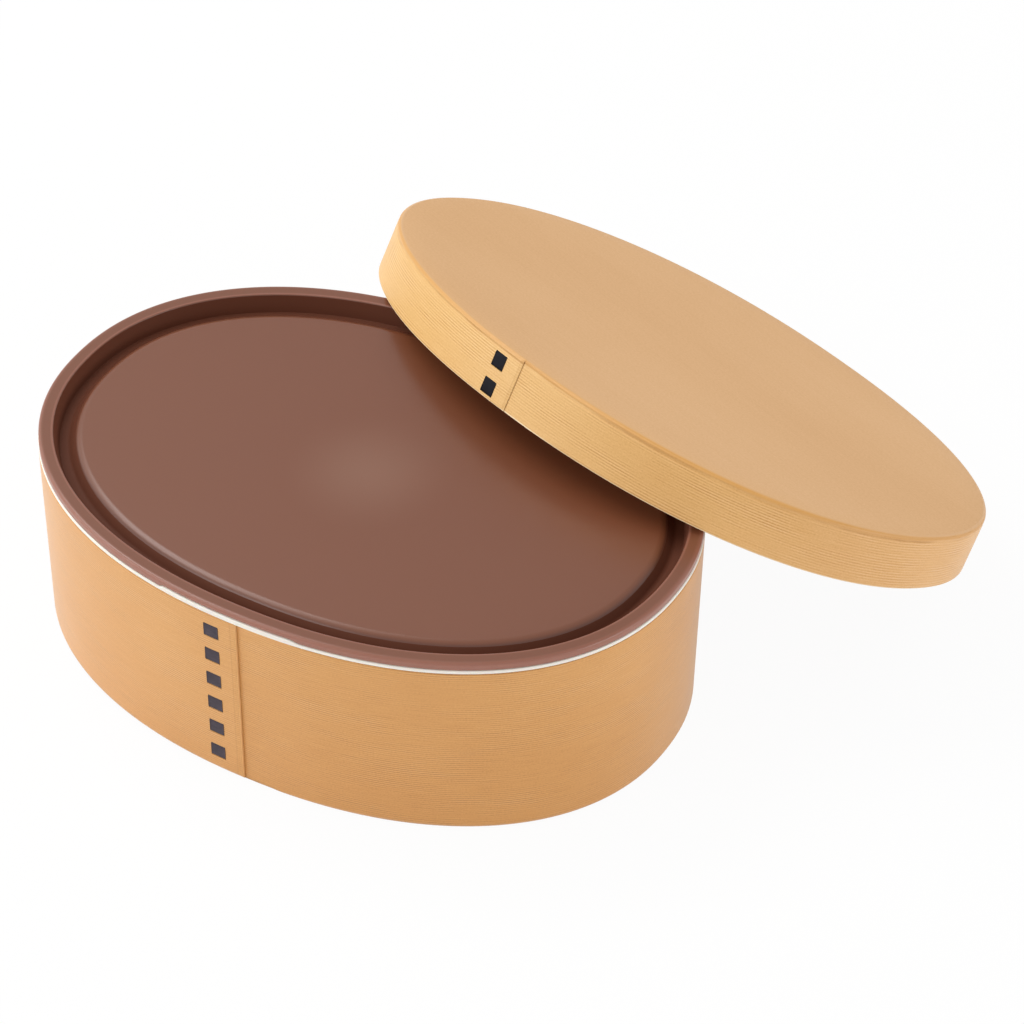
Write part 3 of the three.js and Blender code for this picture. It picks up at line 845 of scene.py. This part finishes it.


# The first numbers are a painted highlight, the second the tool's roughness and painted shade.
finish_rings(
    inner_lid, "edge_highlight", (below, 0), (flange_foot, 0.8), (flange_side, 1),
    (outer_edge, np.linspace(1, 0.1, len(outer_edge)) ** 0.7), (flange_top, 0),
    (inner_edge, np.linspace(0.5, 0, len(inner_edge))), (rolled, 0))
finish_rings(
    inner_lid, "tooled_and_shaded", (below + flange_foot + flange_side + outer_edge + flange_top, 0),
    (inner_edge, np.linspace(0, 1, len(inner_edge))), (moat_foot + moat_rise, 1),
    (panel_edge, np.clip(np.linspace(1.4, -1.6, len(panel_edge)), 0, 1)), (dome, 0))
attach(inner_lid, "inner_lid")
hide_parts("inner_lid")

# %% [markdown]
# The lid's top board lies in the rebate of its band and is sanded flush with it, so the joint is
# only a hairline.

# %% Top board of the lid
LID_TOP = lid_strip.height / MM
LID_BOARD_THICKNESS = 1.6
LID_BOARD_GAP = 0.02
lid_board_under = LID_TOP - LID_BOARD_THICKNESS
board_edge = (lid_strip.edge + lid_strip.rebate.wide) / MM + LID_BOARD_GAP

top_board = make_ring("lid_top_board", scaled([
    (40, lid_board_under),
    (BOARD_PLATE, lid_board_under),
    *corner_arc(board_edge + 0.1, lid_board_under + 0.1, 0.1, -90, 0, 2),
    *corner_arc(board_edge + 0.02, LID_TOP - 0.02, 0.02, 0, 90, 2),
    (4, LID_TOP),
    (BOARD_PLATE, LID_TOP),
    (40, LID_TOP),
]), BOARD_PLATE * MM, round_trip)
put_on_lid(top_board, "lid_board")

# %% [markdown]
# Each material is a small network of nodes. The first helper gives a socket a value, or links it
# where another node's output is given in place of one. The next adds a node and feeds its inputs.
# A colour is written as its six digits, and the shader wants it as an amount of light.

# %% Helpers for material nodes


def feed(material, socket, value):
    if isinstance(value, bpy.types.NodeSocket):
        material.node_tree.links.new(value, socket)
    else:
        socket.default_value = value


def add_node(material, kind, inputs=None, **settings):
    node = material.node_tree.nodes.new("ShaderNode" + kind)
    for name, value in settings.items():
        setattr(node, name, value)
    for name, value in (inputs or {}).items():
        feed(material, node.inputs[name], value)
    return node


def new_material(name, roughness, specular=0.5):
    material = bpy.data.materials.new(name)
    material.use_nodes = True
    shader = material.node_tree.nodes["Principled BSDF"]
    shader.inputs["Roughness"].default_value = roughness
    shader.inputs["Specular IOR Level"].default_value = specular
    return material, shader


def dress(material, shader, **sockets):
    for name, value in sockets.items():
        feed(material, shader.inputs[name.replace("_", " ")], value)


def colour(text):
    parts = [int(text[step:step + 2], 16) / 255 for step in (0, 2, 4)]
    linear = [part / 12.92 if part <= 0.04045 else ((part + 0.055) / 1.055) ** 2.4 for part in parts]
    return (*linear, 1)


print("mid grey sends back", round(colour("808080")[0], 3), "of the light")

# %% [markdown]
# These helpers make patterns. A noise is a soft random cloud, and stretching the coordinates that
# it is drawn on turns it into fibres or streaks. A tone is a number about one half that says how
# pale the wood is at a point: every noise shifts it up or down by its amount, and a ramp turns it
# into a colour.

# %% Helpers for patterns and tones


def maths(material, kind, first, second=0.0, third=None):
    inputs = {0: first, 1: second}
    if third is not None:
        inputs[2] = third
    return add_node(material, "Math", inputs, operation=kind).outputs[0]


def in_range(material, value, start, stop, low=0.0, high=1.0, **settings):
    return add_node(material, "MapRange", {
        "Value": value, "From Min": start, "From Max": stop, "To Min": low, "To Max": high,
    }, **settings).outputs[0]


def blended(material, first, second, factor):
    return add_node(material, "Mix", {0: factor, 6: first, 7: second}, data_type="RGBA").outputs[2]


def plain_noise(material, place, scale, detail, rough=0.5):
    return add_node(material, "TexNoise", {
        "Vector": place, "Scale": scale, "Detail": detail, "Roughness": rough,
    }).outputs["Fac"]


def stretched_noise(material, place, stretch, detail, rough=0.5):
    mapped = add_node(material, "Mapping", {"Vector": place, "Scale": stretch})
    return plain_noise(material, mapped.outputs[0], 1.0, detail, rough)


def shifted_tone(material, tone, *noises):
    for noise, amount in noises:
        centred = maths(material, "SUBTRACT", noise, 0.5)
        tone = maths(material, "MULTIPLY_ADD", centred, amount, tone)
    return tone


def colour_ramp(material, factor, stops):
    ramp = add_node(material, "ValToRGB", {"Fac": factor})
    elements = ramp.color_ramp.elements
    while len(elements) < len(stops):
        elements.new(0.5)
    for element, (place, text) in zip(elements, stops):
        element.position = place
        element.color = colour(text)
    return ramp.outputs["Color"]


def bumped(material, height, strength, distance):
    bump = add_node(material, "Bump", {"Height": height, "Strength": strength, "Distance": distance})
    return bump.outputs["Normal"]


print("eight helpers for patterns and tones")

# %% [markdown]
# Fine furrows run along each strip, about 0.7 mm apart. They are a sine of the height, pushed
# about by a stretched noise, so they wander as growth rings do. A second stretched noise makes
# them strong in some places and lets them fade in others.

# %% Furrows along a strip
FURROW_TONE = 0.26
WANDER = 14.0


def strip_furrows(material, flat, height, pitch):
    drift = stretched_noise(material, flat, (7, 26, 1), 2.0)
    rings = maths(material, "MULTIPLY", height, 2 * np.pi / pitch)
    rings = maths(material, "MULTIPLY_ADD", drift, WANDER, rings)
    wave = maths(material, "SINE", rings)
    strength = stretched_noise(material, flat, (30, 160, 1), 3.0, 0.6)
    strength = in_range(material, strength, 0.38, 0.66)
    return maths(material, "MULTIPLY", wave, strength), strength


print("a furrow changes the tone by", FURROW_TONE, "either way at most")

# %% [markdown]
# The bands are cedar, sanded and oiled. Beside the furrows they show fibres, a fine stipple of
# pores, and broad patches that are a little paler or darker. All are drawn on the flat strip's own
# coordinates. At the lap the end face at the tip of the strip is painted pale, painted light that
# lifts the shade on it, and a dark line marks where its bevel starts.

# %% Wood of the bands


def strip_wood(name, strip, tones, furrow_pitch, furrow_depth, roughness):
    material, shader = new_material(name, roughness)
    flat = add_node(material, "UVMap", uv_map="flat strip").outputs["UV"]
    flat_parts = add_node(material, "SeparateXYZ", {"Vector": flat}).outputs
    length, height = flat_parts["X"], flat_parts["Y"]
    furrow, strength = strip_furrows(material, flat, height, furrow_pitch)
    fibres = stretched_noise(material, flat, (110, 3200, 1), 3.0, 0.65)
    pores = stretched_noise(material, flat, (1900, 2600, 1), 2.0, 0.6)
    patches = stretched_noise(material, flat, (11, 16, 1), 3.0)
    tone = maths(material, "MULTIPLY_ADD", furrow, FURROW_TONE, 0.5)
    tone = shifted_tone(material, tone, (fibres, 0.4), (pores, 0.5), (patches, 0.5))
    shade = colour_ramp(material, tone, tones)
    # Painted light: the end face at the tip is painted pale to lift the shade that falls on it.
    end_face_light = in_range(material, length, strip.stop - 0.2 * MM, strip.stop - 0.05 * MM)
    shade = blended(material, shade, colour(tones[3][1]), end_face_light)
    from_bevel = maths(material, "SUBTRACT", length, strip.stop - strip.bevel)
    from_bevel = maths(material, "ABSOLUTE", from_bevel)
    bevel_line = in_range(material, from_bevel, 0.3 * MM, 0.0, high=0.3)
    shade = blended(material, shade, colour(tones[0][1]), bevel_line)
    relief = maths(material, "MULTIPLY", furrow, 0.5)
    relief = maths(material, "MULTIPLY_ADD", fibres, 0.25, relief)
    relief = maths(material, "MULTIPLY_ADD", pores, 0.35, relief)
    normal = bumped(material, relief, 0.55, furrow_depth)
    matte = in_range(material, pores, 0.0, 1.0, roughness - 0.08, roughness + 0.1)
    dress(material, shader, Normal=normal, Roughness=matte)
    return SimpleNamespace(
        material=material, shader=shader, tone=tone, shade=shade, length=length, height=height,
        strength=strength,
    )


body_wood = strip_wood(
    "body_wood", body_strip,
    [(0.2, "bb8042"), (0.42, "d39753"), (0.58, "dba15d"), (0.85, "e8b677")],
    furrow_pitch=0.7 * MM, furrow_depth=0.05 * MM, roughness=0.4,
)
lid_wood = strip_wood(
    "lid_wood", lid_strip,
    [(0.15, "c58d45"), (0.4, "ddad66"), (0.6, "e7bb78"), (0.85, "f0cb91")],
    furrow_pitch=0.72 * MM, furrow_depth=0.08 * MM, roughness=0.42,
)
print("body wood has", len(body_wood.material.node_tree.nodes), "nodes")

# %% [markdown]
# Both bands also have lines that run all round at one height. Each is a colour between two heights
# of the flat strip, with soft edges. The body has one, a darker line round its foot, which is
# painted shade where the band meets the table, and a little sheen from the oil and the short fibres.

# %% Lines at a height, and the body's finish


def tinted_band(wood, text, heights, amount):
    below, low, high, above = (height * MM for height in heights)
    rising = in_range(wood.material, wood.height, below, low)
    falling = in_range(wood.material, wood.height, high, above, 1.0, 0.0)
    band = maths(wood.material, "MULTIPLY", rising, falling)
    band = maths(wood.material, "MULTIPLY", band, amount)
    wood.shade = blended(wood.material, wood.shade, colour(text), band)


# Painted shade: a darker line round the body's foot, where it meets the table.
tinted_band(body_wood, "a8733c", (-2, -1, 0.5, 1.0), 0.45)
dress(body_wood.material, body_wood.shader, Base_Color=body_wood.shade)
body_wood.shader.inputs["Sheen Weight"].default_value = 0.2
body_wood.shader.inputs["Sheen Roughness"].default_value = 0.4
body_band.data.materials.append(body_wood.material)
print("with its foot line it has", len(body_wood.material.node_tree.nodes))

# %% [markdown]
# The lid's band is the same wood but more golden, its furrows are deeper, and a long stretch from
# its front right to its back has warmer tones. Its rounded shoulder is a deeper gold, with a fine
# broken dark line under it along the shallow score. The edge of the skirt is pale, and the
# flat top, which was sanded flush with the board, has nearly the board's colour.

# %% Wood of the lid's band
WARM_MIDDLE = 170 * MM
WARM_TONES = [(0.15, "c48846"), (0.4, "dca767"), (0.6, "e6b57a"), (0.85, "efc493")]

cedar = lid_wood.material
from_warm = maths(cedar, "ABSOLUTE", maths(cedar, "SUBTRACT", lid_wood.length, WARM_MIDDLE))
warm = in_range(cedar, from_warm, 160 * MM, 70 * MM)
warm_shade = colour_ramp(cedar, lid_wood.tone, WARM_TONES)
lid_wood.shade = blended(cedar, lid_wood.shade, warm_shade, warm)
tinted_band(lid_wood, "d0974f", (14.1, 14.5, 16, 17), 0.75)
tinted_band(lid_wood, "fbe6c4", (-2, -1, 0.2, 0.45), 0.8)
tinted_band(lid_wood, "b9813c", (13.5, 13.8, 14.0, 14.25), lid_wood.strength)
tinted_band(lid_wood, "d6a66e", (15.02, 15.16, 16, 17), 1.0)
dress(cedar, lid_wood.shader, Base_Color=lid_wood.shade)
lid_band.data.materials.append(cedar)
print("lid wood has", len(cedar.node_tree.nodes), "nodes")

# %% [markdown]
# The boards are flat-sawn wood, sanded and left matte. The lid's top shows almost no grain, only
# an even stipple like fine paper, with faint broad clouds. Noise in the piece's own coordinates
# gives both, and a very shallow bump takes the shine off.

# %% Wood of the boards


def own_place(material, own_frame):
    place = add_node(material, "TexCoord").outputs["Object"]
    own = add_node(material, "Mapping", {
        "Vector": place, "Location": own_frame.translation, "Rotation": own_frame.to_euler(),
    }, vector_type="TEXTURE")
    return own.outputs[0]


def board_wood(name, own_frame, dark, middle, pale, grain):
    material, shader = new_material(name, 0.8, 0.3)
    place = own_place(material, own_frame)
    stipple = stretched_noise(material, place, (1500, 1500, 1500), 3.0, 0.6)
    clouds = stretched_noise(material, place, (9, 16, 16), 3.0)
    fibres = stretched_noise(material, place, (60, 1400, 1400), 3.0, 0.6)
    tone = shifted_tone(material, 0.5, (stipple, 0.45), (clouds, 0.3), (fibres, grain))
    shade = colour_ramp(material, tone, [(0.25, dark), (0.5, middle), (0.75, pale)])
    dress(material, shader, Base_Color=shade, Normal=bumped(material, stipple, 0.5, 0.06 * MM))
    return material


box_frame = Matrix.Identity(4)
top_board.data.materials.append(
    board_wood("lid_board_wood", lid_frame, "cd9f6f", "d9ad7e", "e2b98d", 0.15))
bottom_board.data.materials.append(
    board_wood("bottom_board_wood", box_frame, "bd8f5f", "cfa473", "dcb688", 0.9))
print("two board woods")

# %% [markdown]
# Cherry bark is dark, smooth and a little glossy, with a purple-grey bloom. Short paler streaks
# run across it. The lid's squares are cut from darker bark than the body's.

# %% Cherry bark


def bark(name, own_frame, dark, pale, shine):
    material, shader = new_material(name, 0.5, shine)
    place = own_place(material, own_frame)
    streaks = stretched_noise(material, place, (700, 700, 2600), 3.0, 0.6)
    bloom = plain_noise(material, place, 260.0, 2.0)
    tone = maths(material, "MULTIPLY", bloom, 0.5)
    tone = maths(material, "MULTIPLY_ADD", streaks, 0.5, tone)
    shade = colour_ramp(material, tone, [(0.3, dark), (0.7, pale)])
    dress(material, shader, Base_Color=shade, Normal=bumped(material, streaks, 0.4, 0.04 * MM))
    return material


body_bark = bark("body_bark", box_frame, "2e262f", "463b47", 0.35)
lid_bark = bark("lid_bark", lid_frame, "0c0b10", "191820", 0.1)
for square in bark_pieces:
    square.data.materials.append(lid_bark if square.name.startswith("bark_lid") else body_bark)
print("two barks on", len(bark_pieces), "squares")

# %% [markdown]
# The liner and the inner lid are moulded plastic of the kind that is never quite glossy. A fine
# texture from the mould scatters the highlight, and handling leaves faint smoother and rougher
# patches. A little light goes into the plastic and is scattered there. The brown panel is a little
# paler in its middle, a painted highlight that stands in for the soft reflection of a lamp. The
# flange's edges and side are paler too, a painted highlight, and the moat is a third plastic, much
# rougher and painted darker, which is painted shade.

# %% Plastics
# Painted shade: the moat's darker brown.
MOAT_SHADE_BROWN = "653a2a"


def moulded_plastic(name, base, deeper, roughness, scatter, painted_reflection_colour=None, edge_highlight_colour=None, specular=0.5):
    material, shader = new_material(name, roughness, specular)
    place = add_node(material, "TexCoord").outputs["Object"]
    skin = plain_noise(material, place, 1600.0, 2.0, 0.6)
    handling = plain_noise(material, place, 26.0, 4.0, 0.6)
    shade = blended(material, colour(base), colour(deeper), handling)
    # Painted highlight: a soft pale patch in the panel's middle stands in for a lamp's reflection.
    if painted_reflection_colour:
        flat_place = add_node(material, "VectorMath", {0: place, 1: (1, 1, 0)}, operation="MULTIPLY")
        away = add_node(material, "VectorMath", {0: flat_place.outputs[0]}, operation="LENGTH")
        near = in_range(
            material, away.outputs["Value"], 24 * MM, 0.0, interpolation_type="SMOOTHSTEP")
        shade = blended(material, shade, colour(painted_reflection_colour), near)
    if edge_highlight_colour:
        tooled_and_shaded = add_node(material, "Attribute", attribute_name="tooled_and_shaded").outputs["Fac"]
        edge_highlight = add_node(material, "Attribute", attribute_name="edge_highlight").outputs["Fac"]
        # Painted shade: darker brown in the moat and on the steep faces beside it.
        shade = blended(material, shade, colour(MOAT_SHADE_BROWN), tooled_and_shaded)
        # Painted highlight: paler brown on the flange's edges and side.
        shade = blended(material, shade, colour(edge_highlight_colour), edge_highlight)
    matte = in_range(material, handling, 0.0, 1.0, roughness - 0.03, roughness + 0.03)
    normal = bumped(material, skin, 0.25, 0.02 * MM)
    shader.inputs["Subsurface Weight"].default_value = scatter
    shader.inputs["Subsurface Scale"].default_value = 1 * MM
    dress(material, shader, Base_Color=shade, Roughness=matte, Normal=normal)
    return material


white_plastic = moulded_plastic("white_plastic", "f6f2ea", "f0eae0", 0.32, 0.1)
brown_plastic = moulded_plastic(
    "brown_plastic", "75442c", "72412a", 0.32, 0.05, painted_reflection_colour="7f5440", edge_highlight_colour="9e6958")
shaded_moat_plastic = moulded_plastic(
    "rough_shaded_moat_plastic", MOAT_SHADE_BROWN, "623828", 0.6, 0.05, specular=0.12)
liner.data.materials.append(white_plastic)
inner_lid.data.materials.append(brown_plastic)
inner_lid.data.materials.append(shaded_moat_plastic)
print("three plastics")

# %% [markdown]
# The faces of the moat take the rough plastic, whose darker brown is painted shade. They are the
# faces whose every point was marked as tooled and shaded when the profile was carried round.

# %% Faces of the moat
FULLY_TOOLED_AND_SHADED = 0.99

tooled_and_shaded_points = np.empty(len(inner_lid.data.vertices))
inner_lid.data.attributes["tooled_and_shaded"].data.foreach_get("value", tooled_and_shaded_points)
moat_faces = 0
for face in inner_lid.data.polygons:
    face.material_index = int(tooled_and_shaded_points[list(face.vertices)].min() > FULLY_TOOLED_AND_SHADED)
    moat_faces += face.material_index
print(moat_faces, "faces are rough from the tool")

# %% [markdown]
# The photograph was lit by a wide white room. The world gives the even part of that light, a
# little warm. Seen directly, in a reflection or through something, both the world and the floor
# are white: the light path says how a ray came, and picks the white for such rays.

# %% World and floor
FLOOR_REACH = 4


def seen_rays(owner):
    path = add_node(owner, "LightPath").outputs
    seen = maths(owner, "MAXIMUM", path["Is Camera Ray"], path["Is Glossy Ray"])
    return maths(owner, "MAXIMUM", seen, path["Is Transmission Ray"])


world = bpy.data.worlds.new("studio")
world.use_nodes = True
bpy.context.scene.world = world
world_light = world.node_tree.nodes["Background"]
world_light.inputs["Strength"].default_value = 0.52
world_light.inputs["Color"].default_value = (1, 0.985, 0.96, 1)
world_white = add_node(world, "Background", {"Color": (1, 1, 1, 1)})
world_pick = add_node(world, "MixShader", {
    0: seen_rays(world), 1: world_light.outputs[0], 2: world_white.outputs[0],
})
feed(world, world.node_tree.nodes["World Output"].inputs[0], world_pick.outputs[0])

floor_corners = [(-1, -1), (1, -1), (1, 1), (-1, 1)]
floor_mesh = bpy.data.meshes.new("floor")
floor_mesh.from_pydata(
    [(x * FLOOR_REACH, y * FLOOR_REACH, 0) for x, y in floor_corners], [], [(0, 1, 2, 3)])
floor = bpy.data.objects.new("floor", floor_mesh)
bpy.context.scene.collection.objects.link(floor)
floor_paper, floor_shader = new_material("floor_paper", 0.9, 0.0)
floor_shader.inputs["Base Color"].default_value = (0.9, 0.9, 0.9, 1)
glow = add_node(floor_paper, "Emission", {"Color": (1, 1, 1, 1), "Strength": 1.0})
glow_share = maths(floor_paper, "MULTIPLY", seen_rays(floor_paper), 0.95)
paper = add_node(floor_paper, "MixShader", {
    0: glow_share, 1: floor_shader.outputs[0], 2: glow.outputs[0],
})
floor_out = floor_paper.node_tree.nodes["Material Output"]
feed(floor_paper, floor_out.inputs["Surface"], paper.outputs[0])
floor_mesh.materials.append(floor_paper)
floor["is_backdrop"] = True
print("floor is", round(floor.dimensions.x, 1), "m wide")

# %% [markdown]
# Six large soft lamps stand round the box for the uneven part. The strongest hangs high on the
# left and draws the pale line along the panel's front edge, and the low ones light the sides. Each
# lamp has two angles, how far it is swung round from the right and how high it stands, then its
# width and height in metres, and its power.

# %% Lamps
LAMP_AIM = Vector((0, 0, 30 * MM))
LAMP_DISTANCE = 1.4

lamp_plan = {
    "low_right": (0, 12, 0.8, 0.4, 5.0),
    "low_front_left": (215, 15, 0.8, 0.5, 4.4),
    "front_left": (240, 38, 0.7, 0.5, 3.1),
    "left": (180, 26, 0.8, 0.5, 1.0),
    "low_back": (60, 16, 0.8, 0.5, 1.6),
    "high_left": (172, 56, 0.9, 0.6, 9.0),
}
for name, (swing, climb, width, height, power) in lamp_plan.items():
    lamp_data = bpy.data.lights.new(name, "AREA")
    lamp_data.shape = "RECTANGLE"
    lamp_data.size = width
    lamp_data.size_y = height
    lamp_data.energy = power
    lamp = bpy.data.objects.new(name, lamp_data)
    swing, climb = np.radians((swing, climb))
    away = Vector((np.cos(climb) * np.cos(swing), np.cos(climb) * np.sin(swing), np.sin(climb)))
    lamp.location = LAMP_AIM + away * LAMP_DISTANCE
    lamp.rotation_euler = away.to_track_quat("Z", "Y").to_euler()
    bpy.context.scene.collection.objects.link(lamp)
print(len(lamp_plan), "lamps")

# %% [markdown]
# The Standard view shows a colour about as it is written. Last, the box of the solids and the box
# of what is shown are written down, to see that the detailed pieces kept the object's size.

# %% Finish
bpy.context.scene.view_settings.view_transform = "Standard"
shown_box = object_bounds()
sizes = {
    "solids": [list(corner) for corner in solid_box],
    "shown": [list(corner) for corner in shown_box],
}
for name, corners in sizes.items():
    print(name, [[round(value / MM, 2) for value in corner] for corner in corners])
